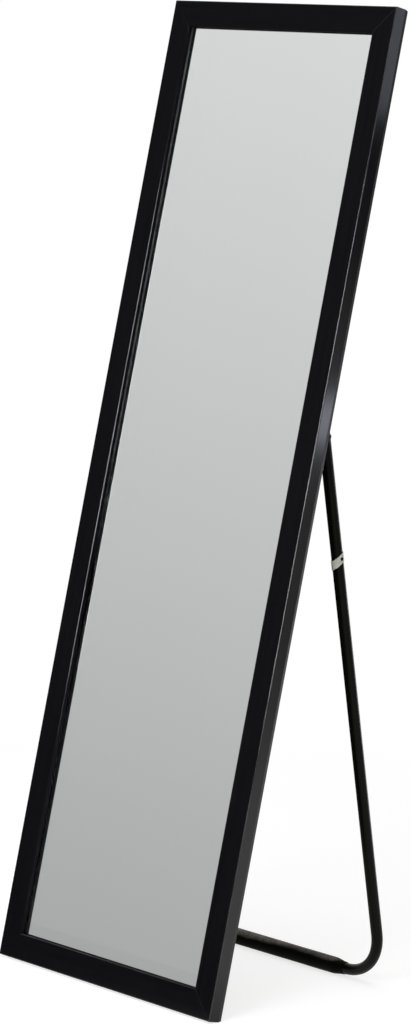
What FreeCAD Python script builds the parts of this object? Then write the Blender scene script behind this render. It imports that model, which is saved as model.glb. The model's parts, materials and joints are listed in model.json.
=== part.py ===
"""Free-standing dressing mirror: plain glass in a mitred black moulding, leaning on a folding U-shaped leg.

Millimetres, +Z up, the front towards -Y. The origin is on the floor, in the middle of the part's outline.
Two seats carry everything. MirrorSeat lies in the leaning mirror: its X runs across, its Y from the front
face to the back, its Z up the face, and it starts at the middle of the lower front edge. LegSeat lies on the
pivot axis of the leg, with its Z up the leg. The leg is drawn open, with its heel on the hinge brackets.
"""
import FreeCAD, Part
import math
import os
import Sketcher

doc = FreeCAD.newDocument("dressing_mirror")

# Driving dimensions
SIZES = (
    ("width", 500, "frame, over the outer edges"),
    ("height", 1600, "frame, along the lean"),
    ("face_width", 43, "moulding, seen from the front"),
    ("thickness", 28, "moulding, front to back"),
    ("lip_depth", 7, "from the front face down to the glass"),
    ("rebate_width", 8, "how far the lip covers the glass rebate"),
    ("front_round", 1.2, "rounded front arrises of the moulding"),
    ("back_bevel", 7, "shallow bevel at the back of the moulding's outer side, along the side"),
    ("back_setback", 1.5, "how far that bevel comes in at the back"),
    ("edge_gap", 1, "room round the glass, packing and back panel"),
    ("glass_thickness", 4, "mirror glass"),
    ("glass_arris", 0.5, "ground edges of the glass"),
    ("packing_thickness", 2, "packing board behind the silvering"),
    ("panel_thickness", 3, "hardboard back panel"),
    ("nail_wing", 9, "V-nail, length of a wing"),
    ("nail_thickness", 0.8, "V-nail, sheet"),
    ("nail_depth", 10, "V-nail, driven in from the back"),
    ("nail_inset", 8, "outer V-nail, from the outer edges"),
    ("nail_pitch", 12, "from one V-nail of a corner to the next"),
    ("point_length", 16, "retaining point, over all"),
    ("point_bite", 8, "retaining point, driven into the moulding"),
    ("point_width", 10, "retaining point"),
    ("point_nose", 4, "retaining point, width of its driven end"),
    ("point_thickness", 0.6, "retaining point, sheet"),
    ("point_inset", 130, "outermost retaining points, from the ends of a moulding"),
    ("stile_points", 6, "retaining points on each stile"),
    ("rail_points", 2, "retaining points on each rail"),
    ("lean", 9.5, "degrees that the mirror leans back"),
    ("open_angle", 23.4, "degrees between the mirror and the open leg"),
    ("pivot_height", 926, "pivot axis, up the mirror from its lower edge"),
    ("pivot_offset", 16, "pivot axis, behind the back of the moulding"),
    ("leg_inset", 27.5, "middle of each leg, in from the outer edge of the frame"),
    ("tube_diameter", 19, "leg tube, outside"),
    ("tube_wall", 1.2, "leg tube, wall"),
    ("bend_radius", 80, "leg tube, bends on the middle line"),
    ("sleeve_diameter", 27.5, "foot sleeve, outside"),
    ("sleeve_margin", 1.5, "bare tube between each end of the foot sleeve and the bend"),
    ("sleeve_taper", 18, "foot sleeve, length that tapers at each end"),
    ("sleeve_end", 21.5, "foot sleeve, outside at its ends"),
    ("plug_cap", 3, "end plug, thickness outside the tube"),
    ("plug_stem", 6, "end plug, length inside the tube"),
    ("plug_bevel", 1, "end plug, bevelled edge"),
    ("stop_gap", 0.3, "between the heel of the open leg and the bracket"),
    ("bolt_diameter", 6, "pivot bolt"),
    ("bolt_head", 9, "pivot bolt, diameter of the round head"),
    ("bolt_rise", 2, "pivot bolt, height of the head"),
    ("bolt_bevel", 0.6, "pivot bolt, bevelled edge of the head"),
    ("bolt_end", 1.5, "pivot bolt, past the nut"),
    ("running_clearance", 0.05, "leg holes round the pivot bolt, on the radius"),
    ("side_clearance", 0.3, "between the tube and the washer or bolt head beside it"),
    ("washer_diameter", 13, "pivot washer, outside"),
    ("washer_thickness", 1, "pivot washer"),
    ("nut_flats", 10, "lock nut, across the flats"),
    ("nut_height", 6, "lock nut, over all"),
    ("flange_diameter", 13, "lock nut, flange on the side of the lug"),
    ("flange_thickness", 1.2, "lock nut, flange"),
    ("plate_thickness", 2, "hinge bracket, sheet"),
    ("plate_bend", 1.5, "hinge bracket, inside of the bend"),
    ("plate_round", 4, "hinge bracket, rounded corners"),
    ("base_width", 20, "hinge bracket, foot plate"),
    ("lug_depth", 24, "hinge bracket, lug behind the moulding"),
    ("lug_foot", 7, "hinge bracket, depth that the lug tapers to"),
    ("lug_taper", 14, "hinge bracket, start of the taper below the pivot"),
    ("bracket_above", 14, "hinge bracket, above the pivot"),
    ("bracket_below", 63, "hinge bracket, below the pivot"),
    ("screw_diameter", 3.5, "bracket screw"),
    ("screw_head", 7, "bracket screw, diameter of the pan head"),
    ("screw_rise", 2.2, "bracket screw, height of the pan head"),
    ("screw_length", 16, "bracket screw, under the head"),
    ("screw_edge", 9, "bracket screws, from the outer edge of the foot plate"),
    ("screw_first", 24, "first bracket screw, below the pivot"),
    ("screw_pitch", 26, "from one bracket screw to the next"),
    ("bracket_screws", 2, "screws in each bracket"),
    ("band_drop", 205, "clip band, below the pivot along the leg"),
    ("band_width", 12.5, "clip band, square to its edges"),
    ("band_thickness", 1, "clip band"),
    ("band_tilt", 34, "degrees that the clip band is wound off square"),
    ("band_turn", 45, "degrees from the leg's outer side to the axis of that tilt"),
    ("rivet_diameter", 3, "clip rivet, shank"),
    ("rivet_head", 6, "clip rivet, head diameter"),
    ("rivet_rise", 1.2, "clip rivet, head height"),
)
sheet = doc.addObject("Spreadsheet::Sheet", "Sizes")
for row, (alias, value, note) in enumerate(SIZES, start=1):
    sheet.set(f"A{row}", note)
    sheet.set(f"B{row}", str(value))
    sheet.setAlias(f"B{row}", alias)
doc.recompute()

# Sizes that follow from the driving ones, written once as expressions
REBATE_WALL = "(Sizes.face_width - Sizes.rebate_width)"
PACKING_FRONT = "(Sizes.lip_depth + Sizes.glass_thickness)"
PANEL_FRONT = f"({PACKING_FRONT} + Sizes.packing_thickness)"
PANEL_BACK = f"({PANEL_FRONT} + Sizes.panel_thickness)"
PIVOT_DEPTH = "(Sizes.thickness + Sizes.pivot_offset)"
TUBE_RADIUS = "(Sizes.tube_diameter / 2)"
TUBE_BORE = "(Sizes.tube_diameter - 2 * Sizes.tube_wall)"
LEG_X = "(Sizes.width / 2 - Sizes.leg_inset)"
BOLT_X = f"({LEG_X} + {TUBE_RADIUS} + Sizes.side_clearance)"
WASHER_X = f"({LEG_X} - {TUBE_RADIUS} - Sizes.side_clearance)"
LUG_X = f"({WASHER_X} - Sizes.washer_thickness - Sizes.plate_thickness)"
GRIP = "(Sizes.plate_thickness + Sizes.washer_thickness + Sizes.tube_diameter + 2 * Sizes.side_clearance)"
# The mirror stands on the lower edge of its bottom rail, at the start of the bevel or, where it leans more than
# the bevel slopes, at the end of it. The foot sleeve stands on the same floor
SEAT_Z = ("max((Sizes.thickness - Sizes.back_bevel) * sin(Sizes.lean);"
          " Sizes.thickness * sin(Sizes.lean) - Sizes.back_setback * cos(Sizes.lean))")
FRONT_TRIM = "(Sizes.front_round * (sin(Sizes.lean) + cos(Sizes.lean) - 1))"
SLOPE = "(Sizes.open_angle - Sizes.lean)"
PIVOT_Z = f"({SEAT_Z} + Sizes.pivot_height * cos(Sizes.lean) - {PIVOT_DEPTH} * sin(Sizes.lean))"
LEG_LENGTH = f"(({PIVOT_Z} - Sizes.sleeve_diameter / 2) / cos({SLOPE}))"
PIVOT_REACH = f"(Sizes.pivot_height * sin(Sizes.lean) + {PIVOT_DEPTH} * cos(Sizes.lean) - {FRONT_TRIM})"
DEPTH = f"({PIVOT_REACH} + {LEG_LENGTH} * sin({SLOPE}) + Sizes.sleeve_diameter / 2)"
# The open leg's heel, the edge below the bevel of its plug, comes to rest on the foot plate of the bracket
HEEL_ROOM = "(Sizes.pivot_offset - Sizes.plate_thickness - Sizes.stop_gap)"
HEEL_BACK = f"({TUBE_RADIUS} * cos(Sizes.open_angle))"
LEG_TOP = f"(Sizes.plug_bevel + ({HEEL_ROOM} - {HEEL_BACK}) / sin(Sizes.open_angle))"
TUBE_TOP = f"({LEG_TOP} - Sizes.plug_cap)"
BAND_RISE = f"({TUBE_RADIUS} * tan(Sizes.band_tilt) * sin(Sizes.band_turn))"

X_AXIS = FreeCAD.Vector(1, 0, 0)
Y_AXIS = FreeCAD.Vector(0, 1, 0)
Z_AXIS = FreeCAD.Vector(0, 0, 1)


def seat(name, place):
    """A bare placement that the pieces are set against."""
    obj = doc.addObject("App::FeaturePython", name)
    obj.addProperty("App::PropertyPlacement", "Placement")
    obj.setExpression("Placement", place)
    return obj


def at(x="0", y="0", z="0", turn="rotationx(0)"):
    """Placement expression from three lengths and a turn."""
    return f"placement(vector({x}; {y}; {z}); {turn})"


seat("MirrorSeat", at(y=f"-{DEPTH} / 2 - {FRONT_TRIM}", z=SEAT_Z, turn="rotationx(-Sizes.lean)"))
seat("LegSeat", at(y=f"{PIVOT_REACH} - {DEPTH} / 2", z=PIVOT_Z, turn=f"rotationx({SLOPE})"))
doc.recompute()


def on_mirror(*place, **places):
    """Placement expression within the leaning mirror."""
    return "MirrorSeat.Placement * " + at(*place, **places)


def on_leg(*place, **places):
    """Placement expression within the leg."""
    return "LegSeat.Placement * " + at(*place, **places)


parts = {}


def new_body(label, place=None):
    """An empty body; with a placement it is a piece of the mirror, without one a pattern for copies."""
    body = doc.addObject("PartDesign::Body", label)
    if place is not None:
        body.setExpression("Placement", place)
        parts[label] = body
    return body


def new_sketch(body, name, plane, offset=None):
    """A sketch on one of the body's own planes, moved along the plane's normal by an expression."""
    sketch = body.newObject("Sketcher::SketchObject", name)
    planes = {feature.Role: feature for feature in body.Origin.OriginFeatures}
    sketch.AttachmentSupport = (planes[plane], [""])
    sketch.MapMode = "FlatFace"
    if offset is not None:
        sketch.setExpression("AttachmentOffset.Base.z", offset)
    return sketch


def place_point(sketch, geometry, position, x, y):
    """Dimension one point of a sketch from the origin, by two expressions."""
    for kind, expression in (("DistanceX", x), ("DistanceY", y)):
        value = float(sketch.evalExpression(expression))
        index = sketch.addConstraint(Sketcher.Constraint(kind, -1, 1, geometry, position, value))
        sketch.setExpression(f"Constraints[{index}]", expression)


def polygon(sketch, corners):
    """Closed outline with straight sides; each corner is a pair of expressions."""
    values = [[float(sketch.evalExpression(value)) for value in corner] for corner in corners]
    points = [FreeCAD.Vector(x, y, 0) for x, y in values]
    first = sketch.GeometryCount
    count = len(points)
    for index in range(count):
        sketch.addGeometry(Part.LineSegment(points[index], points[(index + 1) % count]), False)
    for index in range(count):
        following = first + (index + 1) % count
        sketch.addConstraint(Sketcher.Constraint("Coincident", first + index, 2, following, 1))
    for index, (x, y) in enumerate(corners):
        place_point(sketch, first + index, 1, x, y)


def rectangle(sketch, left, right, low, high):
    """Outline square to the sketch's axes."""
    polygon(sketch, ((left, low), (right, low), (right, high), (left, high)))


def circle(sketch, diameter, x="0", y="0"):
    """Circle placed and sized by expressions."""
    centre = FreeCAD.Vector(float(sketch.evalExpression(x)), float(sketch.evalExpression(y)), 0)
    size = float(sketch.evalExpression(diameter))
    index = sketch.addGeometry(Part.Circle(centre, FreeCAD.Vector(0, 0, 1), size / 2), False)
    place_point(sketch, index, 3, x, y)
    constraint = sketch.addConstraint(Sketcher.Constraint("Diameter", index, size))
    sketch.setExpression(f"Constraints[{constraint}]", diameter)


def extrude(body, kind, sketch, length=None, side="One side", reverse=False):
    """Pad or Pocket of a sketch; with no length it goes right through, both ways."""
    feature = body.newObject(f"PartDesign::{kind}", f"{sketch.Name}_{kind}")
    feature.Profile = sketch
    feature.SideType = side
    feature.Reversed = reverse
    if length is None:
        feature.Type = "ThroughAll"
        feature.SideType = "Two sides"
        feature.Type2 = "ThroughAll"
    else:
        feature.setExpression("Length", length)
    sketch.Visibility = False
    doc.recompute()
    body.Tip = feature
    return feature


def cut(body, sketch, length=None, side="One side", reverse=False):
    """Pocket that has to take material away."""
    before = body.Shape.Volume
    feature = extrude(body, "Pocket", sketch, length, side, reverse)
    if not body.Shape.Volume < before:
        raise RuntimeError(f"{body.Label}: {sketch.Label} cuts nothing")
    return feature


def dress(body, kind, size, chosen):
    """Fillet or Chamfer on the edges that the test picks, in the body's own space."""
    base = body.Tip
    names = [f"Edge{number}" for number, edge in enumerate(base.Shape.Edges, start=1) if chosen(edge)]
    feature = body.newObject(f"PartDesign::{kind}", f"{body.Name}_{kind}")
    feature.Base = (base, names)
    feature.setExpression("Radius" if kind == "Fillet" else "Size", size)
    doc.recompute()
    body.Tip = feature
    return feature


def revolve(body, sketch, axis="V_Axis"):
    """Full turn of a half section round an axis of its sketch."""
    feature = body.newObject("PartDesign::Revolution", f"{sketch.Name}_Revolution")
    feature.Profile = sketch
    feature.ReferenceAxis = (sketch, [axis])
    feature.Angle = 360
    sketch.Visibility = False
    doc.recompute()
    body.Tip = feature
    return feature


def size(expression):
    """Present value of an expression."""
    return float(sheet.evalExpression(expression))


def along(edge, direction):
    """True for a straight edge that runs along the given axis."""
    return isinstance(edge.Curve, Part.Line) and abs(edge.Curve.Direction.dot(direction)) > 0.999


def through(edge, **coordinates):
    """True where the middle of an edge has the given coordinates."""
    middle = edge.CenterOfMass
    return all(abs(getattr(middle, axis) - value) < 0.01 for axis, value in coordinates.items())


def group(label, pattern, places):
    """One node of separate solids: copies of a pattern body, each with its own placement."""
    copies = []
    for number, place in enumerate(places, start=1):
        copy = doc.addObject("App::Link", f"{label}_{number}")
        copy.LinkedObject = pattern
        copy.setExpression("LinkPlacement", place)
        copies.append(copy)
    compound = doc.addObject("Part::Compound", label)
    compound.Links = copies
    parts[label] = compound


def mirrored(label, source):
    """The same piece on the other side of the middle plane."""
    other = doc.addObject("Part::Mirroring", label)
    other.Source = source
    other.Normal = X_AXIS
    parts[label] = other


# Moulding
# The bar is padded along Z with its outer edge on X = 0 and its front on Y = 0, rounded, then mitred
def moulding(label, length, points, place):
    body = new_body(label, place)
    profile = new_sketch(body, f"{label}_profile", "XY_Plane")
    polygon(profile, (
        ("0", "0"),
        ("0", "Sizes.thickness - Sizes.back_bevel"),
        ("-Sizes.back_setback", "Sizes.thickness"),
        (f"-{REBATE_WALL}", "Sizes.thickness"),
        (f"-{REBATE_WALL}", "Sizes.lip_depth"),
        ("-Sizes.face_width", "Sizes.lip_depth"),
        ("-Sizes.face_width", "0"),
    ))
    extrude(body, "Pad", profile, length, side="Symmetric")
    dress(body, "Fillet", "Sizes.front_round", lambda edge: along(edge, Z_AXIS) and through(edge, y=0))

    # Mitres: 45 degrees from the outer corner at each end
    mitre = new_sketch(body, f"{label}_mitre", "XZ_Plane")
    beyond = "2 * Sizes.face_width"
    for sign in ("", "-"):
        polygon(mitre, (
            ("0", f"{sign}{length} / 2"),
            (f"-{beyond}", f"{sign}({length} / 2 - {beyond})"),
            (f"-{beyond}", f"{sign}{length} / 2"),
        ))
    cut(body, mitre)

    # Slots of the V-nails, in the back of each mitre
    slots = new_sketch(body, f"{label}_nails", "XZ_Plane", "-Sizes.thickness")
    for sign in ("", "-"):
        for inset in ("Sizes.nail_inset", "(Sizes.nail_inset + Sizes.nail_pitch)"):
            start = f"{sign}({length} / 2 - {inset})"
            end = f"{sign}({length} / 2 - {inset} - Sizes.nail_wing)"
            rectangle(slots, f"-({inset} + Sizes.nail_thickness)", f"-{inset}", start, end)
    cut(body, slots, "Sizes.nail_depth", reverse=True)

    # Slits of the retaining points, in the rebate wall just behind the back panel
    slit = new_sketch(body, f"{label}_points", "XZ_Plane", f"-{PANEL_BACK}")
    run = f"({length} - 2 * Sizes.point_inset)"
    rectangle(slit, f"-{REBATE_WALL} - Sizes.rebate_width", f"-{REBATE_WALL} + Sizes.point_bite",
              f"-{run} / 2 - Sizes.point_width / 2", f"-{run} / 2 + Sizes.point_width / 2")
    first = cut(body, slit, "Sizes.point_thickness")
    pattern = body.newObject("PartDesign::LinearPattern", f"{label}_point_row")
    pattern.Originals = [first]
    planes = {feature.Role: feature for feature in body.Origin.OriginFeatures}
    pattern.Direction = (planes["Z_Axis"], [""])
    pattern.setExpression("Length", run)
    pattern.setExpression("Occurrences", points)
    doc.recompute()
    body.Tip = pattern
    return body


moulding("frame_bottom_rail", "Sizes.width", "Sizes.rail_points", on_mirror(turn="rotationy(90)"))
moulding("frame_top_rail", "Sizes.width", "Sizes.rail_points",
         on_mirror(z="Sizes.height", turn="rotationy(-90)"))
stile = moulding("frame_right_stile", "Sizes.height", "Sizes.stile_points",
                 on_mirror("Sizes.width / 2", z="Sizes.height / 2"))

# Pilot holes for the bracket screws, in the back of the stile
SCREW_X = f"({LUG_X} + Sizes.base_width - Sizes.screw_edge)"
SCREW_BITE = "(Sizes.screw_length - Sizes.plate_thickness)"


def screw_drop(number):
    """Distance of a bracket screw below the pivot."""
    return f"(Sizes.screw_first + {number} * Sizes.screw_pitch)"


SCREW_ROW = range(int(size("Sizes.bracket_screws")))
pilots = new_sketch(stile, "pilot_holes", "XZ_Plane", "-Sizes.thickness")
for number in SCREW_ROW:
    circle(pilots, "Sizes.screw_diameter", f"{SCREW_X} - Sizes.width / 2",
           f"Sizes.pivot_height - {screw_drop(number)} - Sizes.height / 2")
cut(stile, pilots, SCREW_BITE, reverse=True)
mirrored("frame_left_stile", stile)


# V-nails: a right-angled pair of wings across each mitre, flush with the back
nail = new_body("v_nail")
nail_outline = new_sketch(nail, "v_nail_outline", "XZ_Plane")
polygon(nail_outline, (
    ("0", "0"),
    ("Sizes.nail_wing", "0"),
    ("Sizes.nail_wing", "Sizes.nail_thickness"),
    ("Sizes.nail_thickness", "Sizes.nail_thickness"),
    ("Sizes.nail_thickness", "Sizes.nail_wing"),
    ("0", "Sizes.nail_wing"),
))
extrude(nail, "Pad", nail_outline, "Sizes.nail_depth")
CORNERS = (("-1", "0", "0"), ("1", "0", "-90"), ("1", "1", "180"), ("-1", "1", "90"))
nail_places = []
for side, end, turn in CORNERS:
    for inset in ("Sizes.nail_inset", "(Sizes.nail_inset + Sizes.nail_pitch)"):
        nail_places.append(on_mirror(
            f"{side} * (Sizes.width / 2 - {inset})", "Sizes.thickness",
            f"{end} * (Sizes.height - 2 * {inset}) + {inset}", f"rotationy({turn})"))
group("corner_v_nails", nail, nail_places)


# Glass, packing and back panel: three sheets stacked in the rebate behind the lip
def flat_sheet(label, thickness, front):
    body = new_body(label, on_mirror(y=front, z="Sizes.height / 2"))
    outline = new_sketch(body, f"{label}_outline", "XZ_Plane")
    across = f"(Sizes.width / 2 - {REBATE_WALL} - Sizes.edge_gap)"
    up = f"(Sizes.height / 2 - {REBATE_WALL} - Sizes.edge_gap)"
    rectangle(outline, f"-{across}", across, f"-{up}", up)
    extrude(body, "Pad", outline, thickness, reverse=True)
    return body


glass = flat_sheet("mirror_glass", "Sizes.glass_thickness", "Sizes.lip_depth")
glass_back = size("Sizes.glass_thickness")
dress(glass, "Chamfer", "Sizes.glass_arris", lambda edge: through(edge, y=0) or through(edge, y=glass_back))
flat_sheet("packing_sheet", "Sizes.packing_thickness", PACKING_FRONT)
flat_sheet("back_panel", "Sizes.panel_thickness", PANEL_FRONT)


# Retaining points: thin tabs driven into the rebate wall, lying on the back panel
point = new_body("retaining_point")
point_outline = new_sketch(point, "retaining_point_outline", "XZ_Plane")
POINT_OVER = "(Sizes.point_length - Sizes.point_bite)"
polygon(point_outline, (
    ("-Sizes.point_bite", "-Sizes.point_nose / 2"),
    ("0", "-Sizes.point_width / 2"),
    (POINT_OVER, "-Sizes.point_width / 2"),
    (POINT_OVER, "Sizes.point_width / 2"),
    ("0", "Sizes.point_width / 2"),
    ("-Sizes.point_bite", "Sizes.point_nose / 2"),
))
extrude(point, "Pad", point_outline, "Sizes.point_thickness", reverse=True)


def point_row(length, count):
    """Distances of the points of one moulding from its middle."""
    steps = int(size(count)) - 1
    for number in range(steps + 1):
        yield f"(({length} - 2 * Sizes.point_inset) * ({number} / {steps} - 0.5))"


point_places = []
for step in point_row("Sizes.height", "Sizes.stile_points"):
    for side, turn in (("-1", "0"), ("1", "180")):
        point_places.append(on_mirror(f"{side} * (Sizes.width / 2 - {REBATE_WALL})", PANEL_BACK,
                                      f"Sizes.height / 2 + {step}", f"rotationy({turn})"))
for step in point_row("Sizes.width", "Sizes.rail_points"):
    for level, turn in ((REBATE_WALL, "-90"), (f"Sizes.height - {REBATE_WALL}", "90")):
        point_places.append(on_mirror(step, PANEL_BACK, level, f"rotationy({turn})"))
group("retaining_points", point, point_places)


# Hinge brackets: a foot plate on the stile and a tapered lug on the inner side of the leg, pressed from one strip
# X = 0 is the inner side of the lug, Y = 0 the back of the moulding, Z = 0 the pivot
bracket = new_body("right_hinge_bracket", on_mirror(LUG_X, "Sizes.thickness", "Sizes.pivot_height"))
foot_plate = new_sketch(bracket, "bracket_foot_plate", "XZ_Plane")
rectangle(foot_plate, "0", "Sizes.base_width", "-Sizes.bracket_below", "Sizes.bracket_above")
extrude(bracket, "Pad", foot_plate, "Sizes.plate_thickness", reverse=True)
lug = new_sketch(bracket, "bracket_lug", "YZ_Plane")
polygon(lug, (
    ("0", "-Sizes.bracket_below"),
    ("Sizes.lug_foot", "-Sizes.bracket_below"),
    ("Sizes.lug_depth", "-Sizes.lug_taper"),
    ("Sizes.lug_depth", "Sizes.bracket_above"),
    ("0", "Sizes.bracket_above"),
))
extrude(bracket, "Pad", lug, "Sizes.plate_thickness")
sheet_in = size("Sizes.plate_thickness")
plate_out = size("Sizes.base_width")
lug_back = size("Sizes.lug_depth")
lug_low = size("Sizes.lug_foot")
dress(bracket, "Fillet", "Sizes.plate_bend",
      lambda edge: along(edge, Z_AXIS) and through(edge, x=sheet_in, y=sheet_in))
dress(bracket, "Fillet", "Sizes.plate_bend + Sizes.plate_thickness",
      lambda edge: along(edge, Z_AXIS) and through(edge, x=0, y=0))
dress(bracket, "Fillet", "Sizes.plate_round", lambda edge: (
    (along(edge, X_AXIS) and (through(edge, y=lug_back) or through(edge, y=lug_low)))
    or (along(edge, Y_AXIS) and through(edge, x=plate_out))))
bolt_hole = new_sketch(bracket, "bracket_bolt_hole", "YZ_Plane")
circle(bolt_hole, "Sizes.bolt_diameter", "Sizes.pivot_offset")
cut(bracket, bolt_hole)
screw_holes = new_sketch(bracket, "bracket_screw_holes", "XZ_Plane")
for number in SCREW_ROW:
    circle(screw_holes, "Sizes.screw_diameter", "Sizes.base_width - Sizes.screw_edge",
           f"-{screw_drop(number)}")
cut(bracket, screw_holes)
mirrored("left_hinge_bracket", bracket)


# Bracket screws: pan heads on the foot plate, shanks in the pilot holes
screw = new_body("bracket_screw")
screw_half = new_sketch(screw, "bracket_screw_half", "XZ_Plane")
polygon(screw_half, (
    ("0", "-Sizes.screw_length"),
    ("Sizes.screw_diameter / 2", "-Sizes.screw_length"),
    ("Sizes.screw_diameter / 2", "0"),
    ("Sizes.screw_head / 2", "0"),
    ("Sizes.screw_head / 2", "Sizes.screw_rise"),
    ("0", "Sizes.screw_rise"),
))
revolve(screw, screw_half)
screw_places = []
for side in ("-1", "1"):
    for number in SCREW_ROW:
        screw_places.append(on_mirror(
            f"{side} * {SCREW_X}", "Sizes.thickness + Sizes.plate_thickness",
            f"Sizes.pivot_height - {screw_drop(number)}", "rotationx(-90)"))
group("bracket_screws", screw, screw_places)


# Pivot bolts, washers and lock nuts: a low round head outside the leg, a washer between leg and lug
bolt = new_body("pivot_bolt")
bolt_half = new_sketch(bolt, "pivot_bolt_half", "XZ_Plane")
BOLT_LENGTH = f"({GRIP} + Sizes.nut_height + Sizes.bolt_end)"
polygon(bolt_half, (
    ("0", "-Sizes.bolt_rise"),
    ("Sizes.bolt_head / 2 - Sizes.bolt_bevel", "-Sizes.bolt_rise"),
    ("Sizes.bolt_head / 2", "Sizes.bolt_bevel - Sizes.bolt_rise"),
    ("Sizes.bolt_head / 2", "0"),
    ("Sizes.bolt_diameter / 2", "0"),
    ("Sizes.bolt_diameter / 2", BOLT_LENGTH),
    ("0", BOLT_LENGTH),
))
revolve(bolt, bolt_half)

washer = new_body("pivot_washer")
washer_ring = new_sketch(washer, "pivot_washer_ring", "XY_Plane")
circle(washer_ring, "Sizes.washer_diameter")
circle(washer_ring, "Sizes.bolt_diameter")
extrude(washer, "Pad", washer_ring, "Sizes.washer_thickness")

nut = new_body("lock_nut")
nut_hex = new_sketch(nut, "lock_nut_hexagon", "XY_Plane")
CORNER = "Sizes.nut_flats / 2 / cos(30)"
polygon(nut_hex, [(f"{CORNER} * cos({angle})", f"{CORNER} * sin({angle})") for angle in range(0, 360, 60)])
extrude(nut, "Pad", nut_hex, "Sizes.nut_height")
nut_flange = new_sketch(nut, "lock_nut_flange", "XY_Plane")
circle(nut_flange, "Sizes.flange_diameter")
extrude(nut, "Pad", nut_flange, "Sizes.flange_thickness")
nut_bore = new_sketch(nut, "lock_nut_bore", "XY_Plane")
circle(nut_bore, "Sizes.bolt_diameter")
cut(nut, nut_bore)


def pivot_places(distance):
    """Places on the pivot axis, both sides, turned so that Z points inwards."""
    for side, turn in (("-1", "90"), ("1", "-90")):
        yield on_mirror(f"{side} * {distance}", PIVOT_DEPTH, "Sizes.pivot_height", f"rotationy({turn})")


group("pivot_bolts", bolt, pivot_places(BOLT_X))
group("pivot_washers", washer, pivot_places(WASHER_X))
group("lock_nuts", nut, pivot_places(LUG_X))


# Leg tube: one length, bent twice into a U and cross-drilled near both ends
# Its bore is drawn from both ends down to the bends; the closed part below is solid
leg = new_body("leg_tube", on_leg())
route = new_sketch(leg, "leg_route", "XZ_Plane")
BEND_X = f"({LEG_X} - Sizes.bend_radius)"
BEND_Z = f"({LEG_LENGTH} - Sizes.bend_radius)"
RUNS = (
    ((f"-{LEG_X}", TUBE_TOP), (f"-{LEG_X}", f"-{BEND_Z}")),
    ((f"-{BEND_X}", f"-{LEG_LENGTH}"), (BEND_X, f"-{LEG_LENGTH}")),
    ((LEG_X, f"-{BEND_Z}"), (LEG_X, TUBE_TOP)),
)
for run in RUNS:
    ends = [FreeCAD.Vector(*(size(value) for value in end), 0) for end in run]
    line = route.addGeometry(Part.LineSegment(*ends), False)
    for position, end in enumerate(run, start=1):
        place_point(route, line, position, *end)
for number, (side, quarter) in enumerate((("-", 180), ("", 270))):
    centre = FreeCAD.Vector(size(f"{side}{BEND_X}"), size(f"-{BEND_Z}"), 0)
    ring = Part.Circle(centre, Z_AXIS, size("Sizes.bend_radius"))
    start, end = (math.radians(angle) for angle in (quarter, quarter + 90))
    arc = route.addGeometry(Part.ArcOfCircle(ring, start, end), False)
    route.addConstraint(Sketcher.Constraint("Coincident", number, 2, arc, 1))
    route.addConstraint(Sketcher.Constraint("Coincident", arc, 2, number + 1, 1))
    radius = route.addConstraint(Sketcher.Constraint("Radius", arc, ring.Radius))
    route.setExpression(f"Constraints[{radius}]", "Sizes.bend_radius")
section = new_sketch(leg, "leg_section", "XY_Plane", TUBE_TOP)
circle(section, "Sizes.tube_diameter", f"-{LEG_X}")
doc.recompute()
bent = leg.newObject("PartDesign::AdditivePipe", "leg_bent_tube")
bent.Profile = section
bent.Spine = route
doc.recompute()
leg.Tip = bent
bores = new_sketch(leg, "leg_bores", "XY_Plane", TUBE_TOP)
for side in ("-", ""):
    circle(bores, TUBE_BORE, f"{side}{LEG_X}")
cut(leg, bores, f"{TUBE_TOP} + {BEND_Z}")
pivot_holes = new_sketch(leg, "leg_pivot_holes", "YZ_Plane")
circle(pivot_holes, "Sizes.bolt_diameter + 2 * Sizes.running_clearance")
cut(leg, pivot_holes)
rivet_hole = new_sketch(leg, "leg_rivet_hole", "YZ_Plane", LEG_X)
circle(rivet_hole, "Sizes.rivet_diameter", y=f"{BAND_RISE} - Sizes.band_drop")
cut(leg, rivet_hole, "Sizes.tube_diameter", reverse=True)


# End plugs: a bevelled cap on a stem that fills the bore, one in each end of the tube
plug = new_body("leg_end_plug")
plug_half = new_sketch(plug, "leg_end_plug_half", "XZ_Plane")
polygon(plug_half, (
    ("0", "-Sizes.plug_stem"),
    (f"{TUBE_BORE} / 2", "-Sizes.plug_stem"),
    (f"{TUBE_BORE} / 2", "0"),
    (TUBE_RADIUS, "0"),
    (TUBE_RADIUS, "Sizes.plug_cap"),
    ("0", "Sizes.plug_cap"),
))
revolve(plug, plug_half)
cap_top = size("Sizes.plug_cap")
dress(plug, "Chamfer", "Sizes.plug_bevel", lambda edge: through(edge, z=cap_top))
group("leg_end_plugs", plug, [on_leg(f"{side}{LEG_X}", z=TUBE_TOP) for side in ("-", "")])


# Foot sleeve: a thick rubber hose over the straight of the foot bar, tapered towards both ends
sleeve = new_body("foot_sleeve", on_leg(z=f"-{LEG_LENGTH}", turn="rotationy(90)"))
sleeve_half = new_sketch(sleeve, "foot_sleeve_half", "XZ_Plane")
SLEEVE_END = f"({BEND_X} - Sizes.sleeve_margin)"
SLEEVE_FULL = f"({SLEEVE_END} - Sizes.sleeve_taper)"
polygon(sleeve_half, (
    (TUBE_RADIUS, f"-{SLEEVE_END}"),
    ("Sizes.sleeve_end / 2", f"-{SLEEVE_END}"),
    ("Sizes.sleeve_diameter / 2", f"-{SLEEVE_FULL}"),
    ("Sizes.sleeve_diameter / 2", SLEEVE_FULL),
    ("Sizes.sleeve_end / 2", SLEEVE_END),
    (TUBE_RADIUS, SLEEVE_END),
))
revolve(sleeve, sleeve_half)


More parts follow.
